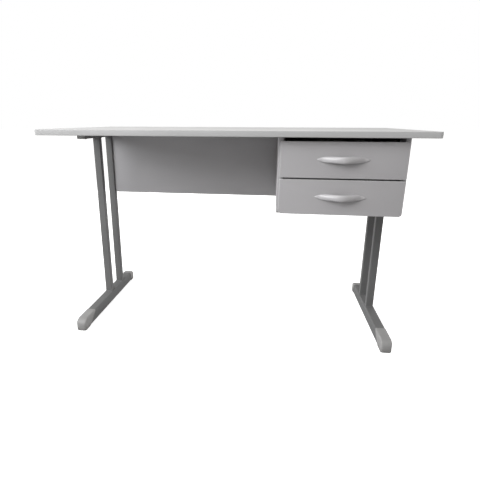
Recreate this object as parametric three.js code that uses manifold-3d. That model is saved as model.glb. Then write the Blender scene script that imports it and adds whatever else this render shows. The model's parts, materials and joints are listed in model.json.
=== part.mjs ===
// Writing desk on two steel leg frames, with a modesty panel between the legs
// and a two-drawer unit hung under the right side of the worktop.
// Millimetres, +Z up, X to the right, the user sits on the -Y side.
// Origin: on the floor, under the middle of the worktop.

import * as THREE from 'three';
import { mergeVertices } from 'three/addons/utils/BufferGeometryUtils.js';
import Module from 'manifold-3d';

const wasm = await Module();
wasm.setup();

// ---------------------------------------------------------------- driving dimensions

const SEAM = 0.25;                 // clearance left between pieces that are pressed together
const FIT = 0.3;                   // clearance of a plug in its tube and of a cap on its tube

const desk = { width: 1214, depth: 600, height: 740 };
const board = { thickness: 18, cornerRadius: 12, edgeStrip: 3 };
const undersideZ = desk.height - board.thickness;

const leg = { x: 553, tubeWall: 1.5 };
const topBar = { width: 28, height: 20, frontY: -97, rearY: 293, radius: 2.5, plugFlange: 3, plugDepth: 14 };
const column = { width: 28, depth: 22, radius: 3, frontY: 28, rearY: 145 };
const foot = { width: 35, height: 42, bottomZ: 3, radius: 4, frontY: -238, rearY: 288, tubeInset: 26 };
const cap = {
  wall: 1.5, frontTopLength: 91, rearTopLength: 45, bottomLength: 28,
  noseLength: 27, noseStartZ: 23, edgeRadius: 6, planRadius: 8,
};
const barTopZ = undersideZ;
const barBottomZ = undersideZ - topBar.height;
const footTopZ = foot.bottomZ + foot.height;
const screwYs = { front: -60, rear: 255 };

const modesty = { thickness: 15, height: 250, bottomZ: 466, sideGap: 0.5 };
const tab = { length: 60, height: 26, thickness: 2, lowerZ: 510, upperZ: 670, holeRadius: 2.5 };

const unit = { centreX: 348, width: 381, frontY: -250, rearY: 135, bottomZ: 485, panel: 15 };
const bracket = { reach: 18, length: 30, thickness: 2, frontY: -200, rearY: 60 };

const front = { width: 369, height: 107.5, thickness: 18, faceY: -270, radius: 3, lowCornerRadius: 11 };
const drawerFrontZ = { upper: 602, lower: 489.5 };
const drawerBox = { depth: 350, height: 76, panel: 12, bottomPanel: 3, rise: 22, grooveRise: 8, grooveDepth: 5 };
const slide = { space: 12.5, length: 350, metal: 1.25, cabinetHeight: 35, drawerHeight: 25, flange: 9.5 };

const handle = {
  length: 154, height: 20, reach: 27, gapWidth: 88, gapReach: 19, holeSpacing: 96, rise: 2,
};
const screw = { radius: 2, holeRadius: 2.5, headRadius: 4.5, headHeight: 2.5 };
const worktopScrewBite = 12;
const handleScrewBite = 8;

// ---------------------------------------------------------------- materials

function finish(color, roughness, metalness) {
  return () => new THREE.MeshStandardMaterial({ color, roughness, metalness });
}

const melamine = finish(0xdcdcdc, 0.55, 0.0);
const frontMelamine = finish(0xb9b6b8, 0.5, 0.0);
const edgePlastic = finish(0xc6c6c8, 0.45, 0.0);
const greyPaint = finish(0x77787a, 0.5, 0.2);
const capPlastic = finish(0xbdbcba, 0.5, 0.0);
const handlePlastic = finish(0xcfcdd0, 0.35, 0.3);
const zincSteel = finish(0xb4b7ba, 0.35, 0.9);
const drawerBoard = finish(0xd6d3cd, 0.6, 0.0);
const hardboard = finish(0xcfc9bf, 0.75, 0.0);

// ---------------------------------------------------------------- shape helpers

// Rounded rectangle centred on (cx, cy). Radii go anticlockwise from the lower left corner.
function roundedRectangle(width, height, radii, cx = 0, cy = 0) {
  const [a, b, c, d] = Array.isArray(radii) ? radii : [radii, radii, radii, radii];
  const left = cx - width / 2;
  const right = cx + width / 2;
  const low = cy - height / 2;
  const high = cy + height / 2;
  const outline = new THREE.Shape();
  outline.moveTo(left + a, low);
  outline.lineTo(right - b, low);
  outline.absarc(right - b, low + b, b, -Math.PI / 2, 0, false);
  outline.lineTo(right, high - c);
  outline.absarc(right - c, high - c, c, 0, Math.PI / 2, false);
  outline.lineTo(left + d, high);
  outline.absarc(left + d, high - d, d, Math.PI / 2, Math.PI, false);
  outline.lineTo(left, low + a);
  outline.absarc(left + a, low + a, a, Math.PI, 1.5 * Math.PI, false);
  return outline;
}

function polygon(points) {
  return new THREE.Shape(points.map(([x, y]) => new THREE.Vector2(x, y)));
}

function extrude(shape, depth, curveSegments = 4) {
  return new THREE.ExtrudeGeometry(shape, { depth, curveSegments, bevelEnabled: false });
}

// Outline seen from the front, as (X, Z), swept from frontY to rearY.
function alongY(shape, frontY, rearY, curveSegments = 4) {
  const geometry = extrude(shape, rearY - frontY, curveSegments);
  geometry.rotateX(Math.PI / 2);
  geometry.translate(0, rearY, 0);
  return geometry;
}

// Outline seen from the side, as (Y, Z), swept from leftX to rightX.
function alongX(shape, leftX, rightX, curveSegments = 4) {
  const geometry = extrude(shape, rightX - leftX, curveSegments);
  geometry.rotateY(Math.PI / 2);
  geometry.rotateX(Math.PI / 2);
  geometry.translate(leftX, 0, 0);
  return geometry;
}

// Outline seen from above, as (X, Y), swept from lowZ to highZ.
function alongZ(shape, lowZ, highZ, curveSegments = 4) {
  const geometry = extrude(shape, highZ - lowZ, curveSegments);
  geometry.translate(0, 0, lowZ);
  return geometry;
}

function box(leftX, rightX, frontY, rearY, lowZ, highZ) {
  const geometry = new THREE.BoxGeometry(rightX - leftX, rearY - frontY, highZ - lowZ);
  geometry.translate((leftX + rightX) / 2, (frontY + rearY) / 2, (lowZ + highZ) / 2);
  return geometry;
}

function hollowSection(width, height, radius, wall, cx = 0, cy = 0) {
  const section = roundedRectangle(width, height, radius, cx, cy);
  const inside = roundedRectangle(width - 2 * wall, height - 2 * wall, Math.max(radius - wall, 0.5), cx, cy);
  section.holes.push(inside);
  return section;
}

// Upright cylinder standing on (x, y, lowZ).
function uprightCylinder(radius, x, y, lowZ, highZ, sides = 16) {
  const geometry = new THREE.CylinderGeometry(radius, radius, highZ - lowZ, sides);
  geometry.rotateX(Math.PI / 2);
  geometry.translate(x, y, (lowZ + highZ) / 2);
  return geometry;
}

// Cylinder lying along Y.
function lyingCylinder(radius, x, frontY, rearY, z, sides = 16) {
  const geometry = new THREE.CylinderGeometry(radius, radius, rearY - frontY, sides);
  geometry.translate(x, (frontY + rearY) / 2, z);
  return geometry;
}

// ---------------------------------------------------------------- boolean helpers

function solid(geometry) {
  const bare = geometry.clone();
  bare.deleteAttribute('normal');
  bare.deleteAttribute('uv');
  const merged = mergeVertices(bare, 1e-4);
  return new wasm.Manifold(new wasm.Mesh({
    numProp: 3,
    vertProperties: new Float32Array(merged.attributes.position.array),
    triVerts: new Uint32Array(merged.index.array),
  }));
}

function geometryOf(body) {
  const mesh = body.getMesh();
  const geometry = new THREE.BufferGeometry();
  geometry.setAttribute('position', new THREE.BufferAttribute(new Float32Array(mesh.vertProperties), 3));
  geometry.setIndex(new THREE.BufferAttribute(new Uint32Array(mesh.triVerts), 1));
  geometry.computeVertexNormals();
  return geometry;
}

function cut(geometry, ...tools) {
  return geometryOf(tools.reduce((body, tool) => body.subtract(solid(tool)), solid(geometry)));
}

function common(geometry, ...others) {
  return geometryOf(others.reduce((body, other) => body.intersect(solid(other)), solid(geometry)));
}

function join(geometry, ...others) {
  return geometryOf(others.reduce((body, other) => body.add(solid(other)), solid(geometry)));
}

// ---------------------------------------------------------------- assembly helper

const deskGroup = new THREE.Group();

function add(name, geometry, material, parent = deskGroup) {
  const mesh = new THREE.Mesh(geometry, material());
  mesh.name = name;
  parent.add(mesh);
  return mesh;
}

// Pan-head screw pointing up +Z, with the underside of its head at the origin.
function panHeadScrew(length) {
  const point = screw.radius;
  const profile = [
    new THREE.Vector2(0, -screw.headHeight),
    new THREE.Vector2(screw.headRadius * 0.6, -screw.headHeight),
    new THREE.Vector2(screw.headRadius, -screw.headHeight * 0.4),
    new THREE.Vector2(screw.headRadius, 0),
    new THREE.Vector2(screw.radius, 0),
    new THREE.Vector2(screw.radius, length - point),
    new THREE.Vector2(0, length),
  ];
  const geometry = new THREE.LatheGeometry(profile, 16);
  geometry.rotateX(Math.PI / 2);
  return geometry;
}

// ---------------------------------------------------------------- worktop

function makeWorktop() {
  const inset = board.edgeStrip + SEAM;
  const panel = alongZ(
    roundedRectangle(desk.width - 2 * inset, desk.depth - 2 * inset, board.cornerRadius - inset),
    undersideZ, desk.height, 6);
  const pilotHoles = [];
  for (const side of [-1, 1]) {
    for (const y of Object.values(screwYs)) {
      const top = undersideZ + worktopScrewBite + 1;
      pilotHoles.push(uprightCylinder(screw.holeRadius, side * leg.x, y, undersideZ - 1, top));
    }
  }
  add('worktop_board', cut(panel, ...pilotHoles), melamine);

  const strip = roundedRectangle(desk.width, desk.depth, board.cornerRadius);
  strip.holes.push(roundedRectangle(
    desk.width - 2 * board.edgeStrip, desk.depth - 2 * board.edgeStrip,
    board.cornerRadius - board.edgeStrip));
  add('worktop_edge_strip', alongZ(strip, undersideZ, desk.height, 6), edgePlastic);
}

// ---------------------------------------------------------------- leg frames

// Side outline of a foot cap as (Y, Z), its nose pointing to -Y and its tip at y = 0.
function capOutline(topLength) {
  const top = footTopZ + cap.wall;
  const outline = new THREE.Shape();
  outline.moveTo(topLength, top);
  outline.lineTo(cap.noseLength, top);
  outline.absellipse(cap.noseLength, cap.noseStartZ, cap.noseLength, top - cap.noseStartZ,
    Math.PI / 2, Math.PI, false);
  outline.lineTo(0, cap.edgeRadius);
  outline.absarc(cap.edgeRadius, cap.edgeRadius, cap.edgeRadius, Math.PI, 1.5 * Math.PI, false);
  outline.lineTo(cap.bottomLength, 0);
  outline.quadraticCurveTo(topLength * 0.72, top * 0.3, topLength, top);
  return outline;
}

// Moulded cap that slips over the end of the foot tube. Its tip is at y = 0, the tube enters from +Y.
function footCap(topLength) {
  const width = foot.width + 2 * cap.wall;
  const top = footTopZ + cap.wall;
  const fromSide = alongX(capOutline(topLength), -width / 2, width / 2, 6);
  const shoulder = foot.radius + cap.wall;
  const fromFront = alongY(
    roundedRectangle(width, top, [cap.edgeRadius, cap.edgeRadius, shoulder, shoulder], 0, top / 2),
    -1, topLength + 1, 4);
  const planLength = topLength + 20;
  const fromAbove = alongZ(
    roundedRectangle(width, planLength, [cap.planRadius, cap.planRadius, 0.5, 0.5], 0, planLength / 2),
    -1, top + 1, 5);
  const pocket = alongY(
    roundedRectangle(foot.width + 2 * FIT, foot.height + 2 * FIT, foot.radius + FIT, 0,
      foot.bottomZ + foot.height / 2), foot.tubeInset - FIT, topLength + 5, 4);
  return cut(common(fromSide, fromFront, fromAbove), pocket);
}

// Plug for an end of the top bar, flange outwards at y = 0, body reaching to +Y.
function barPlug() {
  const centreZ = barBottomZ + topBar.height / 2;
  const flange = alongY(
    roundedRectangle(topBar.width, topBar.height, topBar.radius, 0, centreZ), 0, topBar.plugFlange - SEAM, 4);
  const margin = 2 * (leg.tubeWall + FIT);
  const body = alongY(
    roundedRectangle(topBar.width - margin, topBar.height - margin, 1, 0, centreZ), 1, topBar.plugDepth, 2);
  return join(flange, body);
}

function makeLeg(side, sign) {
  const x = sign * leg.x;
  const frame = new THREE.Group();
  frame.position.x = x;
  deskGroup.add(frame);

  const barFrontY = topBar.frontY + topBar.plugFlange;
  const barRearY = topBar.rearY - topBar.plugFlange;
  const bar = alongY(
    hollowSection(topBar.width, topBar.height, topBar.radius, leg.tubeWall,
      0, barBottomZ + topBar.height / 2),
    barFrontY, barRearY, 4);
  const screwHoles = Object.values(screwYs).map(
    (y) => uprightCylinder(screw.holeRadius, 0, y, barBottomZ - 1, barTopZ + 1));
  add(`${side}_top_bar`, cut(bar, ...screwHoles), greyPaint, frame);

  const frontPlug = add(`${side}_top_bar_front_plug`, barPlug(), capPlastic, frame);
  frontPlug.position.y = topBar.frontY;
  const rearPlug = add(`${side}_top_bar_rear_plug`, barPlug(), capPlastic, frame);
  rearPlug.rotation.z = Math.PI;
  rearPlug.position.y = topBar.rearY;

  for (const [place, y] of [['front', column.frontY], ['rear', column.rearY]]) {
    const section = hollowSection(
      column.width, column.depth, column.radius, leg.tubeWall, 0, y + column.depth / 2);
    add(`${side}_${place}_column`, alongZ(section, footTopZ, barBottomZ), greyPaint, frame);
  }

  const footSection = hollowSection(
    foot.width, foot.height, foot.radius, leg.tubeWall, 0, foot.bottomZ + foot.height / 2);
  const footTube = alongY(footSection, foot.frontY + foot.tubeInset, foot.rearY - foot.tubeInset, 4);
  add(`${side}_foot_tube`, footTube, greyPaint, frame);

  const frontCap = add(`${side}_foot_front_cap`, footCap(cap.frontTopLength), capPlastic, frame);
  frontCap.position.y = foot.frontY;
  const rearCap = add(`${side}_foot_rear_cap`, footCap(cap.rearTopLength), capPlastic, frame);
  rearCap.rotation.z = Math.PI;
  rearCap.position.y = foot.rearY;

  for (const [place, y] of Object.entries(screwYs)) {
    const length = topBar.height + worktopScrewBite;
    const fastener = add(`${side}_worktop_screw_${place}`, panHeadScrew(length), zincSteel, frame);
    fastener.position.set(0, y, barBottomZ - SEAM);
  }
}

// ---------------------------------------------------------------- modesty panel

function makeModestyPanel() {
  const halfSpan = leg.x - column.width / 2 - modesty.sideGap;
  const rearY = column.rearY + column.depth;
  add('modesty_panel', box(-halfSpan, halfSpan, rearY - modesty.thickness, rearY,
    modesty.bottomZ, modesty.bottomZ + modesty.height), frontMelamine);

  // Flat tabs welded to the back of the rear columns and screwed to the back of the panel.
  for (const [side, sign] of [['left', -1], ['right', 1]]) {
    for (const [place, z] of [['lower', tab.lowerZ], ['upper', tab.upperZ]]) {
      const outline = roundedRectangle(tab.length, tab.height, 4, 0, 0);
      const hole = new THREE.Path();
      hole.absarc(-sign * tab.length * 0.35, 0, tab.holeRadius, 0, 2 * Math.PI, false);
      outline.holes.push(hole);
      const plate = add(`modesty_tab_${side}_${place}`,
        alongY(outline, SEAM, tab.thickness + SEAM, 4), greyPaint);
      const overlap = column.width - 3;
      const inner = leg.x + column.width / 2 - overlap;
      plate.position.set(sign * (inner - tab.length / 2 + overlap - 3), rearY, z);
    }
  }
}

// ---------------------------------------------------------------- drawer unit

const unitLeftX = unit.centreX - unit.width / 2;
const unitRightX = unit.centreX + unit.width / 2;

function makeUnitCase() {
  const sideOutline = roundedRectangle(
    unit.rearY - unit.frontY, undersideZ - unit.bottomZ, [10, 1, 0.5, 0.5],
    (unit.frontY + unit.rearY) / 2, (undersideZ + unit.bottomZ) / 2);
  add('unit_left_side', alongX(sideOutline, unitLeftX, unitLeftX + unit.panel), frontMelamine);
  add('unit_right_side', alongX(sideOutline, unitRightX - unit.panel, unitRightX), frontMelamine);

  const innerLeftX = unitLeftX + unit.panel + SEAM;
  const innerRightX = unitRightX - unit.panel - SEAM;
  const backY = unit.rearY - unit.panel;
  add('unit_back', box(innerLeftX, innerRightX, backY, unit.rearY, unit.bottomZ, undersideZ), frontMelamine);
  add('unit_bottom', box(innerLeftX, innerRightX, unit.frontY, backY - SEAM,
    unit.bottomZ, unit.bottomZ + unit.panel), frontMelamine);
}

// Angle bracket in the top corner of the case, one flange on the side, the other under the worktop.
function makeHangingBrackets() {
  const sides = [['left', unitLeftX + unit.panel, 1], ['right', unitRightX - unit.panel, -1]];
  for (const [side, x, sign] of sides) {
    for (const [place, y] of [['front', bracket.frontY], ['rear', bracket.rearY]]) {
      const near = x + sign * SEAM;
      const flange = x + sign * (SEAM + bracket.thickness);
      const far = x + sign * (SEAM + bracket.reach);
      const top = undersideZ - SEAM;
      const profile = polygon([
        [near, top - bracket.reach],
        [flange, top - bracket.reach],
        [flange, top - bracket.thickness],
        [far, top - bracket.thickness],
        [far, top],
        [near, top],
      ]);
      add(`unit_bracket_${side}_${place}`, alongY(profile, y, y + bracket.length), zincSteel);
    }
  }
}

// Open channel as (X, Z): web at baseX, flanges reaching by reach towards sign.
function channelProfile(baseX, sign, reach, height, centreZ) {
  const low = centreZ - height / 2;
  const high = centreZ + height / 2;
  const web = baseX + sign * slide.metal;
  const tip = baseX + sign * reach;
  return polygon([
    [baseX, low],
    [tip, low],
    [tip, low + slide.metal],
    [web, low + slide.metal],
    [web, high - slide.metal],
    [tip, high - slide.metal],
    [tip, high],
    [baseX, high],
  ]);
}

// ---------------------------------------------------------------- drawers

const boxLeftX = unitLeftX + unit.panel + slide.space;
const boxRightX = unitRightX - unit.panel - slide.space;
const frontBackY = front.faceY + front.thickness;
const boxRearY = frontBackY + drawerBox.depth;

// Half-height of the handle at a place along it, from 0 in the middle to 1 at a tip.
function handleHalfHeight(t) {
  return (handle.height / 2) * (1 - Math.pow(t, 5));
}

// How far the handle's outer face stands off the drawer front.
function handleOuterReach(t) {
  return handle.reach * Math.pow(0.5 + 0.5 * Math.cos(Math.PI * t), 0.8);
}

// Bow handle with leaf-shaped ends, centred on x = 0, z = 0, its feet on the plane y = 0.
function bowHandle() {
  const half = handle.length / 2;
  const steps = 20;
  const lens = [];
  const bow = [];
  for (let i = -steps; i < steps; i += 1) {
    const t = Math.abs(i) / steps;
    lens.push([(i / steps) * half, -handleHalfHeight(t)]);
    bow.push([(i / steps) * half, -handleOuterReach(t)]);
  }
  for (let i = steps; i > -steps; i -= 1) {
    lens.push([(i / steps) * half, handleHalfHeight(Math.abs(i) / steps)]);
  }
  bow.push([half, 0]);
  const fingerGap = [];
  for (let i = -steps; i <= steps; i += 1) {
    const depth = handle.gapReach * (0.5 + 0.5 * Math.cos((Math.PI * i) / steps));
    fingerGap.push([(i / steps) * (handle.gapWidth / 2), -depth]);
  }
  fingerGap.push([handle.gapWidth / 2, 1]);
  fingerGap.push([-handle.gapWidth / 2, 1]);
  const body = common(
    alongZ(polygon(bow), -handle.height, handle.height),
    alongY(polygon(lens), -handle.reach - 1, 1));
  const holes = [-1, 1].map((side) => lyingCylinder(
    screw.holeRadius, side * handle.holeSpacing / 2, -handleScrewBite - 1, 1, 0, 12));
  return cut(body, alongZ(polygon(fingerGap), -handle.height, handle.height), ...holes);
}

function drawerFront(isLowest) {
  const low = isLowest ? front.lowCornerRadius : front.radius;
  const outline = roundedRectangle(
    front.width, front.height, [low, low, front.radius, front.radius], 0, front.height / 2);
  for (const side of [-1, 1]) {
    const hole = new THREE.Path();
    hole.absarc(side * handle.holeSpacing / 2, front.height / 2 + handle.rise, screw.holeRadius,
      0, 2 * Math.PI, false);
    outline.holes.push(hole);
  }
  return alongY(outline, front.faceY, frontBackY, 5);
}

// Drawer side as (X, Z) with the groove for the bottom panel on its inner face.
function grooveProfile(outerX, sign, lowZ) {
  const innerX = outerX + sign * drawerBox.panel;
  const grooveX = innerX - sign * drawerBox.grooveDepth;
  const grooveLow = lowZ + drawerBox.grooveRise;
  const grooveHigh = grooveLow + drawerBox.bottomPanel + 2 * SEAM;
  return polygon([
    [outerX, lowZ],
    [innerX, lowZ],
    [innerX, grooveLow],
    [grooveX, grooveLow],
    [grooveX, grooveHigh],
    [innerX, grooveHigh],
    [innerX, lowZ + drawerBox.height],
    [outerX, lowZ + drawerBox.height],
  ]);
}

function makeDrawer(level) {
  const frontZ = drawerFrontZ[level];
  const boxZ = frontZ + drawerBox.rise;
  const frontMesh = add(`${level}_drawer_front`, drawerFront(level === 'lower'), frontMelamine);
  frontMesh.position.set(unit.centreX, 0, frontZ);

  const boxFrontY = frontBackY + SEAM;
  add(`${level}_drawer_left_side`,
    alongY(grooveProfile(boxLeftX, 1, boxZ), boxFrontY, boxRearY), drawerBoard);
  add(`${level}_drawer_right_side`,
    alongY(grooveProfile(boxRightX, -1, boxZ), boxFrontY, boxRearY), drawerBoard);

  const innerLeftX = boxLeftX + drawerBox.panel;
  const innerRightX = boxRightX - drawerBox.panel;
  const plateLow = boxZ + drawerBox.grooveRise + SEAM;
  const plateHigh = plateLow + drawerBox.bottomPanel;
  const tongue = drawerBox.grooveDepth - SEAM;
  add(`${level}_drawer_bottom`, box(innerLeftX - tongue, innerRightX + tongue,
    boxFrontY, boxRearY, plateLow, plateHigh), hardboard);
  add(`${level}_drawer_back`, box(innerLeftX + SEAM, innerRightX - SEAM,
    boxRearY - drawerBox.panel, boxRearY, plateHigh + SEAM, boxZ + drawerBox.height), drawerBoard);

  const handleZ = frontZ + front.height / 2 + handle.rise;
  const handleMesh = add(`${level}_drawer_handle`, bowHandle(), handlePlastic);
  handleMesh.position.set(unit.centreX, front.faceY, handleZ);
  for (const [side, sign] of [['left', -1], ['right', 1]]) {
    const fastener = add(`${level}_handle_screw_${side}`,
      panHeadScrew(front.thickness + handleScrewBite), zincSteel);
    fastener.rotation.x = Math.PI / 2;
    fastener.position.set(unit.centreX + sign * handle.holeSpacing / 2, frontBackY + SEAM, handleZ);
  }

  const slideZ = boxZ + drawerBox.height / 2;
  const sides = [
    ['left', unitLeftX + unit.panel, boxLeftX, 1],
    ['right', unitRightX - unit.panel, boxRightX, -1],
  ];
  for (const [side, caseX, boxX, sign] of sides) {
    const caseChannel = channelProfile(caseX + sign * SEAM, sign, slide.flange, slide.cabinetHeight, slideZ);
    add(`${level}_cabinet_slide_${side}`,
      alongY(caseChannel, unit.frontY + 2, unit.frontY + 2 + slide.length), zincSteel);
    const boxChannel = channelProfile(boxX - sign * SEAM, -sign, slide.flange, slide.drawerHeight, slideZ);
    add(`${level}_drawer_slide_${side}`,
      alongY(boxChannel, boxFrontY, boxFrontY + slide.length - 1), zincSteel);
  }
}

// ---------------------------------------------------------------- the whole desk

makeWorktop();
makeLeg('left', -1);
makeLeg('right', 1);
makeModestyPanel();
makeUnitCase();
makeHangingBrackets();
makeDrawer('upper');
makeDrawer('lower');

export default deskGroup;
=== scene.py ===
"""Looks for the writing desk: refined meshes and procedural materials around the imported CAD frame."""

import json
import math

import bmesh
import bpy
from mathutils import Matrix, Vector


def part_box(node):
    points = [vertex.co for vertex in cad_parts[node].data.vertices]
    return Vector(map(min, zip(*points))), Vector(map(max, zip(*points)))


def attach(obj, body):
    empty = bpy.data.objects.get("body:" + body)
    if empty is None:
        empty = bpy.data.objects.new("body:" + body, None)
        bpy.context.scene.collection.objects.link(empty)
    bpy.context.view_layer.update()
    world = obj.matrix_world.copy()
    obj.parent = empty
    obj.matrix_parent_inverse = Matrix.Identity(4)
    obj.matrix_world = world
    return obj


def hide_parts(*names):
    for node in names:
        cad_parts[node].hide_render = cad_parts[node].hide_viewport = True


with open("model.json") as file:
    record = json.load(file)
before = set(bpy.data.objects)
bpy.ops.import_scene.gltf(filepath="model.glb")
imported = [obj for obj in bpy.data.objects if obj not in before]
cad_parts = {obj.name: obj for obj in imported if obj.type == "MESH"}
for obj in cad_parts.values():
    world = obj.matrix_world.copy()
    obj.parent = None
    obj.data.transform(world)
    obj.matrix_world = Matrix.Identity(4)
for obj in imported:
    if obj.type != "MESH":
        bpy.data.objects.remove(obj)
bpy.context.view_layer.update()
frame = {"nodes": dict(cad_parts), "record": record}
nodes = frame["nodes"]
body_of_node = {n: b for b, members in frame["record"]["behaviour"]["bodies"].items() for n in members}
slot_of_node = {s["node"]: s["material_slot"] for s in frame["record"]["subparts"]}

MM = 0.001
SIDES = {"left": -1, "right": 1}
LEVELS = ("upper", "lower")
PLACES = ("front", "rear")
QUARTERS = ((1, 1), (-1, 1), (-1, -1), (1, -1))


# ---------------------------------------------------------------- material building blocks

class Nodes:
    """A new node material with its Principled shader, and short ways to add and wire nodes."""

    def __init__(self, name):
        self.material = bpy.data.materials.new(name)
        self.material.use_nodes = True
        self.tree = self.material.node_tree
        self.shader = self.tree.nodes["Principled BSDF"]
        self.place = self.tree.nodes.new("ShaderNodeTexCoord").outputs["Object"]

    def add(self, kind, **settings):
        node = self.tree.nodes.new("ShaderNode" + kind)
        for key, value in settings.items():
            setattr(node, key, value)
        return node

    def link(self, source, target):
        self.tree.links.new(source, target)

    def feed(self, value, socket):
        """Wires an output to the socket, or sets it to a plain value."""
        if isinstance(value, bpy.types.NodeSocket):
            self.link(value, socket)
        else:
            socket.default_value = value

    def stretched(self, scale):
        mapping = self.add("Mapping")
        mapping.inputs["Scale"].default_value = scale
        self.link(self.place, mapping.inputs["Vector"])
        return mapping.outputs["Vector"]

    def noise(self, scale, detail=3.0, roughness=0.5, vector=None):
        node = self.add("TexNoise")
        node.inputs["Scale"].default_value = scale
        node.inputs["Detail"].default_value = detail
        node.inputs["Roughness"].default_value = roughness
        self.link(vector or self.place, node.inputs["Vector"])
        return node.outputs["Fac"]

    def remap(self, value, low, high, to_low, to_high):
        node = self.add("MapRange")
        numbers = {"From Min": low, "From Max": high, "To Min": to_low, "To Max": to_high}
        for key, number in numbers.items():
            node.inputs[key].default_value = number
        self.link(value, node.inputs["Value"])
        return node.outputs["Result"]

    def mix(self, factor, first, second, blend="MIX"):
        node = self.add("Mix", data_type="RGBA", blend_type=blend)
        for key, value in (("Factor", factor), ("A", first), ("B", second)):
            self.feed(value, node.inputs[key])
        return next(o for o in node.outputs if o.type == "RGBA")

    def maths(self, operation, first, second):
        node = self.add("Math", operation=operation)
        for socket, value in zip(node.inputs, (first, second)):
            self.feed(value, socket)
        return node.outputs["Value"]

    def height(self, low, high):
        """0 below the height low, 1 above high, in metres."""
        split = self.add("SeparateXYZ")
        self.link(self.place, split.inputs["Vector"])
        return self.remap(split.outputs["Z"], low, high, 0.0, 1.0)

    def bump(self, layers):
        """Bump from (height output, depth in metres, strength) layers, one over the other."""
        normal = None
        for value, depth, strength in layers:
            node = self.add("Bump")
            node.inputs["Strength"].default_value = strength
            node.inputs["Distance"].default_value = depth
            self.link(value, node.inputs["Height"])
            if normal is not None:
                self.link(normal, node.inputs["Normal"])
            normal = node.outputs["Normal"]
        self.link(normal, self.shader.inputs["Normal"])

    def set(self, **numbers):
        for key, value in numbers.items():
            self.shader.inputs[key.replace("_", " ")].default_value = value


def grey(value, warm=0.0, lilac=0.0):
    """Linear grey, a little warm (positive) or cool (negative), with a lilac cast if wanted."""
    return (value * (1 + warm), value * (1 - lilac), value * (1 - warm), 1.0)


# ---------------------------------------------------------------- materials

def melamine(name, value, warm=0.0, lilac=0.0, roughness=0.45, used=0.5):
    """Printed melamine facing: fine pearl embossing, tiny specks, faint smears and hairline scuffs."""
    m = Nodes(name)

    def tint(share):
        return grey(min(value * share, 0.95), warm, lilac)

    clouds = m.remap(m.noise(2.2, 4.0), 0.35, 0.65, 0.0, 1.0)
    base = m.mix(clouds, tint(0.97), tint(1.02))
    specks = m.remap(m.noise(950.0, 2.0), 0.60, 0.70, 0.0, 0.22)
    base = m.mix(specks, base, tint(0.62))
    light_specks = m.remap(m.noise(730.0, 2.0), 0.62, 0.72, 0.0, 0.25)
    base = m.mix(light_specks, base, tint(1.25))
    scuff = m.remap(m.noise(6.0, 6.0, 0.75, m.stretched((1.0, 14.0, 14.0))), 0.64, 0.74, 0.0, used)
    base = m.mix(m.maths("MULTIPLY", scuff, 0.18), base, tint(0.75))
    m.link(base, m.shader.inputs["Base Color"])
    smears = m.remap(m.noise(9.0, 5.0, 0.6), 0.35, 0.70, roughness - 0.05, roughness + 0.09)
    m.link(m.maths("ADD", smears, m.maths("MULTIPLY", scuff, 0.12)), m.shader.inputs["Roughness"])
    pearl = m.noise(1400.0, 2.0)
    waves = m.noise(60.0, 2.0)
    m.bump([(pearl, 0.00018, 0.30), (waves, 0.0003, 0.06)])
    m.set(Specular_IOR_Level=0.45)
    return m.material


def edge_plastic(name, value, roughness=0.42):
    """Extruded PVC edging: smooth, with fine lengthwise drawing lines and small knocks."""
    m = Nodes(name)
    patches = m.remap(m.noise(5.0, 4.0), 0.3, 0.7, 0.0, 1.0)
    base = m.mix(patches, grey(value * 0.96), grey(value * 1.03))
    knocks = m.remap(m.noise(85.0, 5.0, 0.7), 0.68, 0.74, 0.0, 0.35)
    base = m.mix(knocks, base, grey(value * 0.6))
    m.link(base, m.shader.inputs["Base Color"])
    sheen = m.remap(m.noise(24.0, 4.0), 0.3, 0.7, roughness - 0.06, roughness + 0.08)
    m.link(sheen, m.shader.inputs["Roughness"])
    lines = m.noise(300.0, 2.0, 0.5, m.stretched((0.04, 0.04, 1.0)))
    m.bump([(lines, 0.0002, 0.25), (knocks, 0.0003, -0.3)])
    m.set(Specular_IOR_Level=0.5)
    return m.material


def powder_coat(name, value):
    """Satin epoxy powder coat on steel: orange peel, dust in the coat, scuffs and scratches low down."""
    m = Nodes(name)
    drift = m.remap(m.noise(7.0, 3.0), 0.3, 0.7, 0.0, 1.0)
    base = m.mix(drift, grey(value * 0.93), grey(value * 1.06))
    dust = m.remap(m.noise(520.0, 3.0), 0.62, 0.74, 0.0, 0.28)
    base = m.mix(dust, base, grey(value * 1.7))
    scratch = m.remap(m.noise(26.0, 8.0, 0.78, m.stretched((5.0, 1.0, 5.0))), 0.66, 0.72, 0.0, 1.0)
    low_down = m.maths("SUBTRACT", 1.0, m.height(0.03, 0.12))
    wear = m.maths("MULTIPLY", scratch, low_down)
    base = m.mix(m.maths("MULTIPLY", wear, 0.5), base, grey(value * 2.0))
    m.link(base, m.shader.inputs["Base Color"])
    m.link(m.remap(m.noise(16.0, 4.0), 0.3, 0.7, 0.40, 0.52), m.shader.inputs["Roughness"])
    peel = m.noise(330.0, 2.0)
    grit = m.noise(1500.0, 1.0)
    m.bump([(peel, 0.0004, 0.28), (grit, 0.0001, 0.15), (wear, 0.0002, -0.2)])
    m.set(Metallic=0.0, Specular_IOR_Level=0.5)
    return m.material


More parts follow.
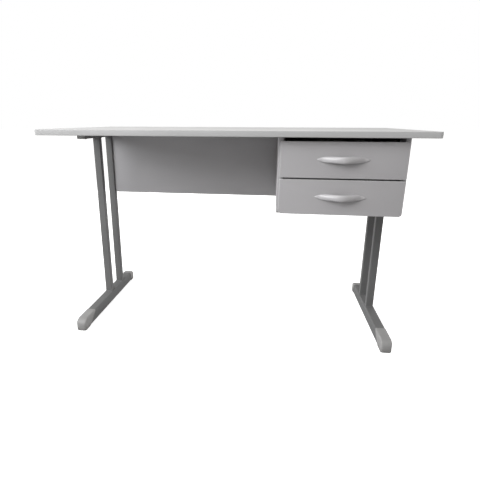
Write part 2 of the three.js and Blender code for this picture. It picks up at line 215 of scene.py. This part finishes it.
def moulded_plastic(name, value, warm, roughness=0.48):
    """Injection-moulded polypropylene with a spark-eroded skin and scuffs, and painted shade that darkens
    it towards the floor.
    """
    m = Nodes(name)
    drift = m.remap(m.noise(30.0, 3.0), 0.3, 0.7, 0.0, 1.0)
    base = m.mix(drift, grey(value * 0.95, warm), grey(value * 1.04, warm))
    # Painted shade: darker in noisy patches over the lowest 2 cm, towards the floor.
    near_floor = m.maths("SUBTRACT", 1.0, m.height(0.002, 0.020))
    painted_floor_shade = m.maths("MULTIPLY", near_floor, m.remap(m.noise(120.0, 5.0, 0.7), 0.35, 0.65, 0.15, 0.75))
    base = m.mix(painted_floor_shade, base, grey(value * 0.45, warm + 0.05))
    scuffs = m.remap(m.noise(70.0, 7.0, 0.8, m.stretched((1.0, 3.0, 1.0))), 0.64, 0.72, 0.0, 0.30)
    base = m.mix(scuffs, base, grey(value * 0.62, warm))
    m.link(base, m.shader.inputs["Base Color"])
    sheen = m.remap(m.noise(45.0, 4.0), 0.3, 0.7, roughness - 0.06, roughness + 0.10)
    m.link(sheen, m.shader.inputs["Roughness"])
    m.bump([(m.noise(1100.0, 2.0), 0.0002, 0.35), (scuffs, 0.0002, -0.25)])
    m.set(Specular_IOR_Level=0.5)
    return m.material


def silver_paint(name, value):
    """Silver-grey satin paint with fine metallic flake, a little polished where fingers pull."""
    m = Nodes(name)
    flake = m.remap(m.noise(1700.0, 1.0), 0.45, 0.70, 0.0, 0.5)
    base = m.mix(flake, grey(value, lilac=0.02), grey(min(value * 1.35, 0.92), lilac=0.02))
    dull = m.remap(m.noise(40.0, 5.0), 0.45, 0.75, 0.0, 0.25)
    base = m.mix(dull, base, grey(value * 0.8, warm=0.01, lilac=0.02))
    m.link(base, m.shader.inputs["Base Color"])
    m.link(m.remap(m.noise(28.0, 4.0), 0.3, 0.7, 0.38, 0.50), m.shader.inputs["Roughness"])
    m.bump([(m.noise(900.0, 2.0), 0.00012, 0.2)])
    m.set(Metallic=0.12, Specular_IOR_Level=0.5, Coat_Weight=0.12, Coat_Roughness=0.35)
    return m.material


def zinc_plate(name):
    """Bright zinc plate with faint bluish and straw patches and rolling lines."""
    m = Nodes(name)
    patches = m.remap(m.noise(60.0, 3.0), 0.35, 0.65, 0.0, 1.0)
    base = m.mix(patches, (0.58, 0.60, 0.62, 1.0), (0.66, 0.65, 0.60, 1.0))
    m.link(base, m.shader.inputs["Base Color"])
    lines = m.noise(900.0, 2.0, 0.5, m.stretched((1.0, 0.03, 1.0)))
    m.link(m.remap(lines, 0.3, 0.7, 0.28, 0.42), m.shader.inputs["Roughness"])
    m.bump([(lines, 0.0001, 0.2)])
    m.set(Metallic=1.0)
    return m.material


def drawer_board(name, value, grain):
    """Pale foil-wrapped or painted board of the drawer boxes, with a faint fibre texture."""
    m = Nodes(name)
    fibre = m.noise(90.0, 6.0, 0.7, m.stretched((1.0, 0.15, 1.0)))
    base = m.mix(m.remap(fibre, 0.3, 0.7, 0.0, 1.0), grey(value * (1 - grain), 0.02), grey(value, 0.02))
    m.link(base, m.shader.inputs["Base Color"])
    m.link(m.remap(m.noise(20.0, 4.0), 0.3, 0.7, 0.5, 0.65), m.shader.inputs["Roughness"])
    m.bump([(fibre, 0.0003, 0.2), (m.noise(800.0, 2.0), 0.0001, 0.2)])
    return m.material


MATERIALS = {
    "worktop_melamine": melamine("worktop_melamine", 0.72, roughness=0.40, used=0.8),
    "edge_plastic": edge_plastic("edge_plastic", 0.455),
    "front_melamine": melamine("front_melamine", 0.415, lilac=0.022, used=0.4),
    # Painted highlight: lighter than front_melamine, so the fronts' rounded edges read as catching light.
    "front_edging_painted_highlight": edge_plastic("front_edging_painted_highlight", 0.54),
    "grey_paint": powder_coat("grey_paint", 0.145),
    "cap_plastic": moulded_plastic("cap_plastic", 0.29, warm=0.012),
    "handle_plastic": silver_paint("handle_plastic", 0.50),
    "zinc_steel": zinc_plate("zinc_steel"),
    "drawer_board": drawer_board("drawer_board", 0.66, grain=0.06),
    "hardboard": drawer_board("hardboard", 0.55, grain=0.14),
}


# ---------------------------------------------------------------- mesh building blocks

def finish_piece(name, mesh_data, slot, body, replaced=(), auto_smooth=35.0):
    """Puts a bmesh into the scene as a named piece with its material, and fastens it to its body."""
    bmesh.ops.recalc_face_normals(mesh_data, faces=mesh_data.faces)
    mesh = bpy.data.meshes.new(name)
    mesh_data.to_mesh(mesh)
    mesh_data.free()
    mesh.materials.append(MATERIALS[slot])
    piece = bpy.data.objects.new(name, mesh)
    bpy.context.scene.collection.objects.link(piece)
    mesh.shade_smooth()
    mesh.set_sharp_from_angle(angle=math.radians(auto_smooth))
    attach(piece, body)
    if replaced:
        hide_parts(*replaced)
    return piece


def cad_mesh(node):
    """The CAD node's solid as a clean bmesh: shared corners, and one polygon for each flat face."""
    data = bmesh.new()
    data.from_mesh(nodes[node].data)
    bmesh.ops.remove_doubles(data, verts=data.verts, dist=0.01 * MM)
    bmesh.ops.dissolve_limit(data, angle_limit=math.radians(1.0), verts=data.verts, edges=data.edges)
    return data


def soften_edges(data, width, segments=3, least_angle=30.0, allowed=None):
    """Rounds every edge sharper than least_angle, or only those of them that allowed(edge) picks.

    The rounding comes out smaller than the width asked for where edges lie close together.
    """
    sharp = [e for e in data.edges
             if len(e.link_faces) == 2 and e.calc_face_angle(0.0) > math.radians(least_angle)
             and (allowed is None or allowed(e))]
    bmesh.ops.bevel(data, geom=sharp, offset=width, offset_type="OFFSET", segments=segments,
                    profile=0.5, affect="EDGES", clamp_overlap=True)


def refined(node, width, segments=3, allowed=None):
    """The CAD node remade with rounded edges, in the same place and size."""
    data = cad_mesh(node)
    soften_edges(data, width, segments, allowed=allowed)
    return finish_piece("fine_" + node, data, slot_of_node[node], body_of_node[node], [node])


def corner_arcs(corners, per_corner):
    """Closed outline round four corners, each (centre across, centre up, radius), anticlockwise."""
    points = []
    for quarter, (cx, cy, radius) in enumerate(corners):
        for i in range(per_corner + 1):
            angle = math.radians(90 * quarter + 90 * i / per_corner)
            points.append((cx + radius * math.cos(angle), cy + radius * math.sin(angle)))
    return points


def ring_strip(data, first, second):
    """Quads between two closed rings of vertices of the same length."""
    count = len(first)
    for i in range(count):
        data.faces.new((first[i], first[(i + 1) % count], second[(i + 1) % count], second[i]))


# ---------------------------------------------------------------- worktop

WORKTOP_CORNER = 12 * MM
STRIP_MARGIN = 2 * MM


def is_on_outer_rim(point):
    """True for a point of the edge strip that lies on its outer face, false on its inner one."""
    low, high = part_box("worktop_edge_strip")
    from_side = min(point.x - low.x, high.x - point.x)
    from_front = min(point.y - low.y, high.y - point.y)
    corner_zone = WORKTOP_CORNER + STRIP_MARGIN
    if from_side < corner_zone and from_front < corner_zone:
        from_corner_centre = math.hypot(from_side - WORKTOP_CORNER, from_front - WORKTOP_CORNER)
        return from_corner_centre >= WORKTOP_CORNER - 0.75 * STRIP_MARGIN
    return from_side <= STRIP_MARGIN or from_front <= STRIP_MARGIN


def is_outer_rim(edge):
    """True for the long outer edges of the edge strip, top and bottom."""
    first, second = (vert.co for vert in edge.verts)
    level = abs(first.z - second.z) < 1 * MM
    return level and is_on_outer_rim(first) and is_on_outer_rim(second)


def make_worktop():
    refined("worktop_board", 0.25 * MM, 1)
    refined("worktop_edge_strip", 2.8 * MM, 5, allowed=is_outer_rim)


# ---------------------------------------------------------------- leg frames

COLUMN_RADIUS = 3 * MM
WELD_STEP = 1.2 * MM
WELD_PROFILE = ((0.0, 2.1), (0.9, 1.7), (1.7, 0.9), (2.1, 0.0), (-0.6, 0.0), (-0.6, 2.1))


def column_outline(width, depth):
    """Outline of a column about the origin, with points at most about a weld step apart."""
    centres = [(sx * (width / 2 - COLUMN_RADIUS), sy * (depth / 2 - COLUMN_RADIUS)) for sx, sy in QUARTERS]
    ring = corner_arcs([(cx, cy, COLUMN_RADIUS) for cx, cy in centres], 5)
    around = []
    for i, (x, y) in enumerate(ring):
        x1, y1 = ring[(i + 1) % len(ring)]
        steps = max(1, round(math.hypot(x1 - x, y1 - y) / WELD_STEP))
        around += [(x + (x1 - x) * k / steps, y + (y1 - y) * k / steps) for k in range(steps)]
    return around


def weld_bead(name, column, at_top):
    """Hand-laid fillet weld round the end of a column, with its ripples.

    At the bar it is thin on the two sides, where the bar is no wider than the column.
    """
    low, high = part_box(column)
    centre = (low + high) / 2
    around = column_outline(high.x - low.x, high.y - low.y)
    side_face = (high.x - low.x) / 2 - 0.5 * MM
    z = high.z if at_top else low.z
    away = -1 if at_top else 1
    data = bmesh.new()
    rings = []
    for across, rise in WELD_PROFILE:
        verts = []
        for k, (x, y) in enumerate(around):
            reach = math.hypot(x, y)
            ripple = 1.0 + 0.16 * math.sin(k * 1.9) + 0.10 * math.sin(k * 0.53 + centre.x * 40)
            flank = 0.12 if at_top and abs(x) > side_face else 1.0
            out = max(across, 0.0) * ripple * flank * MM + min(across, 0.0) * MM
            px = x + out * x / reach
            py = y + out * y / reach
            verts.append(data.verts.new((centre.x + px, centre.y + py, z + away * rise * ripple * MM)))
        rings.append(verts)
    for i, ring_verts in enumerate(rings):
        ring_strip(data, ring_verts, rings[(i + 1) % len(rings)])
    return finish_piece(name, data, "grey_paint", "desk_frame", auto_smooth=60.0)


class CapShape:
    """Outer form of a foot cap in millimetres, at a distance from its tip.

    The top curves down from full height at the distance nose to the height nose_start at the tip.
    The skirt ends at the distance heel on the floor, is lip thick, and shows lap of its inside.
    """

    width = 38.0
    top = 46.5
    nose = 27.0
    nose_start = 23.0
    low_radius = 6.0
    high_radius = 5.5
    plan_radius = 8.0
    heel = 28.0
    lip = 1.2
    lap = 6.0

    @classmethod
    def roof(cls, distance):
        if distance >= cls.nose:
            return cls.top
        fall = math.sqrt(max(0.0, 1 - ((cls.nose - distance) / cls.nose) ** 2))
        return cls.nose_start + (cls.top - cls.nose_start) * fall

    @classmethod
    def sole(cls, distance):
        gap = max(0.0, cls.low_radius - distance)
        return cls.low_radius - math.sqrt(cls.low_radius ** 2 - gap ** 2)

    @classmethod
    def half_width(cls, distance):
        gap = max(0.0, cls.plan_radius - distance)
        return cls.width / 2 - (cls.plan_radius - math.sqrt(cls.plan_radius ** 2 - gap ** 2))

    @classmethod
    def seam(cls, height, length):
        """Distance from the tip at which the skirt ends, at a height above the floor.

        The edge is a quadratic curve from the heel on the floor to the full length on top.
        """
        bend_y, bend_z = length * 0.72, cls.top * 0.3
        a = cls.top - 2 * bend_z
        t = (-2 * bend_z + math.sqrt(4 * bend_z ** 2 + 4 * a * max(0.0, height))) / (2 * a)
        t = min(1.0, max(0.0, t))
        return (1 - t) ** 2 * cls.heel + 2 * (1 - t) * t * bend_y + t ** 2 * length

    @classmethod
    def section(cls, distance, shrink=0.0):
        """Rounded outline (x, z) at a distance from the tip, anticlockwise from the right."""
        half = cls.half_width(distance) - shrink
        low = cls.sole(distance) + shrink
        high = cls.roof(distance) - shrink
        most = min(half * 0.9, (high - low) * 0.45)
        corners = []
        for sx, sz in QUARTERS:
            radius = min(cls.high_radius if sz > 0 else cls.low_radius, most)
            centre_z = high - radius if sz > 0 else low + radius
            corners.append((sx * (half - radius), centre_z, radius))
        return corner_arcs(corners, 7)


def foot_cap(node, direction):
    """Moulded foot cap with a blunt rounded nose and a slanted skirt over the tube."""
    low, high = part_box(node)
    centre_x = (low.x + high.x) / 2
    tip_y = low.y if direction > 0 else high.y
    length = (high.y - low.y) / MM
    full = CapShape.section(length)
    ends = [CapShape.seam(z, length) for x, z in full]
    steps = 26
    # Rings from the tip to the skirt's end, close together where the tip turns over.
    shares = [0.0, 0.006, 0.018, 0.036] + [0.05 + 0.95 * ((k / steps) ** 1.15) for k in range(steps + 1)]
    data = bmesh.new()

    def vert(x, distance, z):
        return data.verts.new((centre_x + x * MM, tip_y + direction * distance * MM, z * MM))

    rings = []
    for share in shares:
        ring = []
        for i, end in enumerate(ends):
            distance = share * end
            x, z = CapShape.section(distance)[i]
            ring.append(vert(x, distance, z))
        rings.append(ring)
    for step_back, shrink in ((0.0, 0.35), (0.0, CapShape.lip), (CapShape.lap, CapShape.lip)):
        ring = []
        for i, end in enumerate(ends):
            distance = max(CapShape.plan_radius, end - step_back)
            x, z = CapShape.section(max(distance, CapShape.nose), shrink)[i]
            ring.append(vert(x, distance, z))
        rings.append(ring)
    for first, second in zip(rings, rings[1:]):
        ring_strip(data, first, second)
    data.faces.new(rings[0])
    data.faces.new(list(reversed(rings[-1])))
    bmesh.ops.remove_doubles(data, verts=data.verts, dist=0.02 * MM)
    return finish_piece("moulded_" + node, data, "cap_plastic", "desk_frame", [node], 40.0)


def make_legs():
    for side in SIDES:
        refined(f"{side}_top_bar", 0.3 * MM, 1)
        for place in PLACES:
            refined(f"{side}_top_bar_{place}_plug", 0.8 * MM, 3)
            refined(f"{side}_{place}_column", 0.25 * MM, 1)
            weld_bead(f"{side}_{place}_weld_foot", f"{side}_{place}_column", at_top=False)
            weld_bead(f"{side}_{place}_weld_bar", f"{side}_{place}_column", at_top=True)
        refined(f"{side}_foot_tube", 0.3 * MM, 1)
        foot_cap(f"{side}_foot_front_cap", 1)
        foot_cap(f"{side}_foot_rear_cap", -1)


# ---------------------------------------------------------------- screws

def cross_head_screw(name, head_base, axis, body, shaft, head_radius=4.5, replaced=()):
    """Pan-head screw with a cross recess. head_base is under the head, axis points out of the work."""
    data = bmesh.new()
    sides = 32
    outline = ((1.9, -shaft), (2.0, -shaft + 1.5), (2.0, 0.0), (head_radius, 0.0), (head_radius, 0.7),
               (head_radius * 0.93, 1.4), (head_radius * 0.72, 2.1), (head_radius * 0.45, 2.4))

    def vert(radius, angle, height):
        return data.verts.new((radius * MM * math.cos(angle), radius * MM * math.sin(angle), height * MM))

    rings = []
    for radius, height in outline:
        ring = []
        for i in range(sides):
            ring.append(vert(radius, 2 * math.pi * i / sides, height))
        rings.append(ring)
    for first, second in zip(rings, rings[1:]):
        ring_strip(data, first, second)
    data.faces.new(list(reversed(rings[0])))
    recess_floor = []
    recess_rim = []
    for i in range(sides):
        angle = 2 * math.pi * i / sides
        radius = 0.55 + 1.25 * abs(math.cos(2 * angle)) ** 6
        recess_rim.append(vert(radius, angle, 2.45))
        recess_floor.append(vert(radius * 0.7, angle, 1.0))
    ring_strip(data, rings[-1], recess_rim)
    ring_strip(data, recess_rim, recess_floor)
    data.faces.new(recess_floor)
    turn = Vector((0, 0, 1)).rotation_difference(Vector(axis)).to_matrix().to_4x4()
    data.transform(Matrix.Translation(Vector(head_base)) @ turn)
    return finish_piece(name, data, "zinc_steel", body, replaced, 30.0)


SCREW_HEAD = 2.5 * MM


def make_screws():
    for side in SIDES:
        for place in PLACES:
            node = f"{side}_worktop_screw_{place}"
            low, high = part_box(node)
            base = ((low.x + high.x) / 2, (low.y + high.y) / 2, low.z + SCREW_HEAD)
            cross_head_screw("cross_" + node, base, (0, 0, -1), "desk_frame", 30.0, replaced=[node])
    for level in LEVELS:
        for side in SIDES:
            node = f"{level}_handle_screw_{side}"
            low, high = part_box(node)
            base = ((low.x + high.x) / 2, high.y - SCREW_HEAD, (low.z + high.z) / 2)
            cross_head_screw("cross_" + node, base, (0, 1, 0), f"{level}_drawer", 24.0, replaced=[node])


def make_modesty():
    refined("modesty_panel", 0.8 * MM, 3)
    for side, sign in SIDES.items():
        for place in ("lower", "upper"):
            node = f"modesty_tab_{side}_{place}"
            refined(node, 0.4 * MM, 2)
            low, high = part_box(node)
            hole_x = (low.x + high.x) / 2 - sign * 0.35 * (high.x - low.x)
            base = (hole_x, high.y, (low.z + high.z) / 2)
            cross_head_screw(f"{node}_screw", base, (0, 1, 0), "desk_frame", 10.0, head_radius=4.0)


# ---------------------------------------------------------------- drawer unit and drawers

def make_unit():
    for node in ("unit_left_side", "unit_right_side", "unit_back", "unit_bottom"):
        refined(node, 0.7 * MM, 3)
    for side in SIDES:
        for place in PLACES:
            refined(f"unit_bracket_{side}_{place}", 0.3 * MM, 1)


def bow_handle(node, level):
    """Arched pull with pointed leaf-shaped ends and a crowned face, hollow behind the middle."""
    low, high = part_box(node)
    centre = Vector(((low.x + high.x) / 2, high.y, (low.z + high.z) / 2))
    half = (high.x - low.x) / 2
    reach = high.y - low.y
    half_height = (high.z - low.z) / 2
    gap_half = 44 * MM
    gap_reach = 19 * MM
    foot_rise = 4.2 * MM
    back_share = 0.9
    data = bmesh.new()
    stations = 64
    face_steps = 14
    back_steps = 6
    rings = []
    for k in range(1, stations):
        # t runs from -1 to 1 along the handle, with more stations near the tips.
        t = -math.cos(math.pi * k / stations)
        x = t * half
        tall = half_height * (1 - abs(t) ** 5)
        bow = reach * (0.5 + 0.5 * math.cos(math.pi * t)) ** 0.8
        out = max(bow, foot_rise * (1 - abs(t) ** 12))
        hollow = gap_reach * (0.5 + 0.5 * math.cos(math.pi * x / gap_half)) if abs(x) < gap_half else 0.0
        ring = []
        for i in range(face_steps + 1):
            angle = math.pi * i / face_steps
            y = hollow + (out - hollow) * (0.25 + 0.75 * math.sin(angle) ** 0.7)
            ring.append(data.verts.new(centre + Vector((x, -y, tall * math.cos(angle)))))
        for i in range(back_steps + 1):
            z = -tall * back_share + 2 * tall * back_share * i / back_steps
            ring.append(data.verts.new(centre + Vector((x, -hollow, z))))
        rings.append(ring)
    for first, second in zip(rings, rings[1:]):
        ring_strip(data, first, second)
    for ring, x in ((rings[0], -half), (rings[-1], half)):
        tip = data.verts.new(centre + Vector((x, -0.3 * MM, 0)))
        for i, vertex in enumerate(ring):
            data.faces.new((vertex, ring[(i + 1) % len(ring)], tip))
    return finish_piece(f"bow_{node}", data, "handle_plastic", f"{level}_drawer", [node], 50.0)


def is_near_front_outline(point):
    """True for a point near the outline of either drawer front, which its screw holes are not."""
    near = 13 * MM
    corners = [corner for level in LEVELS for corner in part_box(f"{level}_drawer_front")]
    return any(abs(point.x - c.x) < near or abs(point.z - c.z) < near for c in corners)


def is_front_outline(edge):
    """True for the outline edges of a drawer front, false for those that run from front to back."""
    first, second = (vert.co for vert in edge.verts)
    across = abs(first.y - second.y) < 0.1 * MM
    return across and is_near_front_outline(first) and is_near_front_outline(second)


def edge_banded_front(level):
    """Drawer front with its plastic edging, painted lighter than the face as a painted highlight on its
    rounded edges: every face that does not look to the front or the back.
    """
    piece = refined(f"{level}_drawer_front", 2.6 * MM, 5, allowed=is_front_outline)
    # Painted highlight: the edging material is lighter than the face, so the rounded edges look lit.
    piece.data.materials.append(MATERIALS["front_edging_painted_highlight"])
    faces_out = 0.97
    for polygon in piece.data.polygons:
        if abs(polygon.normal.y) < faces_out:
            polygon.material_index = 1


def make_drawers():
    for level in LEVELS:
        edge_banded_front(level)
        for part in ("left_side", "right_side", "back", "bottom"):
            refined(f"{level}_drawer_{part}", 0.4 * MM, 2)
        for side in SIDES:
            refined(f"{level}_cabinet_slide_{side}", 0.2 * MM, 1)
            refined(f"{level}_drawer_slide_{side}", 0.2 * MM, 1)
        bow_handle(f"{level}_drawer_handle", level)


make_worktop()
make_legs()
make_screws()
make_modesty()
make_unit()
make_drawers()


# ---------------------------------------------------------------- floor, light and camera

FLOOR_BOUNCE = 0.35
FLOOR_LIFT = 0.80
ROOM_LIGHT = 0.42
LIGHT_AIM = Vector((0.0, 0.0, 0.5))


def make_floor():
    """White paper floor: it shows bright, with a soft shadow, and throws back less light than it shows."""
    size = 30.0
    data = bmesh.new()
    corners = ((-size, -size), (size, -size), (size, size), (-size, size))
    data.faces.new([data.verts.new((x, y, -0.2 * MM)) for x, y in corners])
    mesh = bpy.data.meshes.new("floor")
    data.to_mesh(mesh)
    data.free()
    floor = bpy.data.objects.new("floor", mesh)
    bpy.context.scene.collection.objects.link(floor)
    m = Nodes("pale_floor")
    seen = m.add("LightPath").outputs["Is Camera Ray"]
    m.link(m.mix(seen, grey(FLOOR_BOUNCE), grey(0.85)), m.shader.inputs["Base Color"])
    m.shader.inputs["Emission Color"].default_value = grey(1.0)
    m.link(m.maths("MULTIPLY", seen, FLOOR_LIFT), m.shader.inputs["Emission Strength"])
    m.set(Roughness=0.9, Specular_IOR_Level=0.1)
    mesh.materials.append(m.material)


def make_world():
    """White all round for the camera, and a dimmer, slightly warm light on the desk."""
    world = bpy.data.worlds.new("studio")
    bpy.context.scene.world = world
    world.use_nodes = True
    tree = world.node_tree
    glow = tree.nodes["Background"]
    glow.inputs["Color"].default_value = (1.0, 0.98, 0.955, 1.0)
    glow.inputs["Strength"].default_value = ROOM_LIGHT
    backdrop = tree.nodes.new("ShaderNodeBackground")
    backdrop.inputs["Color"].default_value = (1.0, 1.0, 1.0, 1.0)
    path = tree.nodes.new("ShaderNodeLightPath")
    mix = tree.nodes.new("ShaderNodeMixShader")
    tree.links.new(path.outputs["Is Camera Ray"], mix.inputs["Fac"])
    tree.links.new(glow.outputs["Background"], mix.inputs[1])
    tree.links.new(backdrop.outputs["Background"], mix.inputs[2])
    tree.links.new(mix.outputs["Shader"], tree.nodes["World Output"].inputs["Surface"])


def soft_light(name, place, width, height, power, colour=(1.0, 1.0, 1.0), mirrored=True):
    """Rectangular softbox aimed at the middle of the desk. Glossy faces do not mirror a plain fill."""
    light = bpy.data.lights.new(name, "AREA")
    light.shape = "RECTANGLE"
    light.size = width
    light.size_y = height
    light.energy = power
    light.color = colour
    lamp = bpy.data.objects.new(name, light)
    bpy.context.scene.collection.objects.link(lamp)
    lamp.location = place
    lamp.rotation_euler = (LIGHT_AIM - Vector(place)).to_track_quat("-Z", "Y").to_euler()
    lamp.visible_glossy = mirrored


def make_lights():
    soft_light("left_window", (-3.2, -1.5, 2.1), 2.2, 1.8, 88.0, (0.95, 0.975, 1.0))
    soft_light("front_left_softbox", (-1.8, -2.6, 2.2), 2.0, 1.6, 51.0)
    soft_light("ceiling_softbox", (-0.3, 0.4, 3.0), 3.0, 2.6, 14.0)
    soft_light("high_front_softbox", (0.0, -2.0, 3.0), 2.0, 1.6, 16.0)
    soft_light("low_right_fill", (3.2, 0.9, 0.35), 1.6, 0.6, 80.0, mirrored=False)
    soft_light("low_left_fill", (-3.2, 0.9, 0.35), 1.6, 0.6, 70.0, mirrored=False)
    soft_light("rear_softbox", (-0.8, 3.2, 0.5), 2.4, 0.4, 20.0, mirrored=False)


def make_camera():
    """A wide lens at writing height, in front of the desk and a little right of its middle."""
    lens = bpy.data.cameras.new("camera")
    lens.sensor_width = 36.0
    lens.lens = 29.12
    lens.shift_x = 0.0394
    lens.shift_y = -0.0117
    camera = bpy.data.objects.new("camera", lens)
    bpy.context.scene.collection.objects.link(camera)
    yaw, pitch, roll = 0.1299, 0.2857, 0.0027
    turn = Matrix.Rotation(yaw, 4, "Z") @ Matrix.Rotation(math.pi / 2 - pitch, 4, "X")
    turn = turn @ Matrix.Rotation(roll, 4, "Z")
    camera.matrix_world = Matrix.Translation((0.1408, -1.4686, 0.7687)) @ turn
    bpy.context.scene.camera = camera


make_floor()
make_world()
make_lights()
make_camera()
bpy.context.scene.view_settings.view_transform = "Standard"
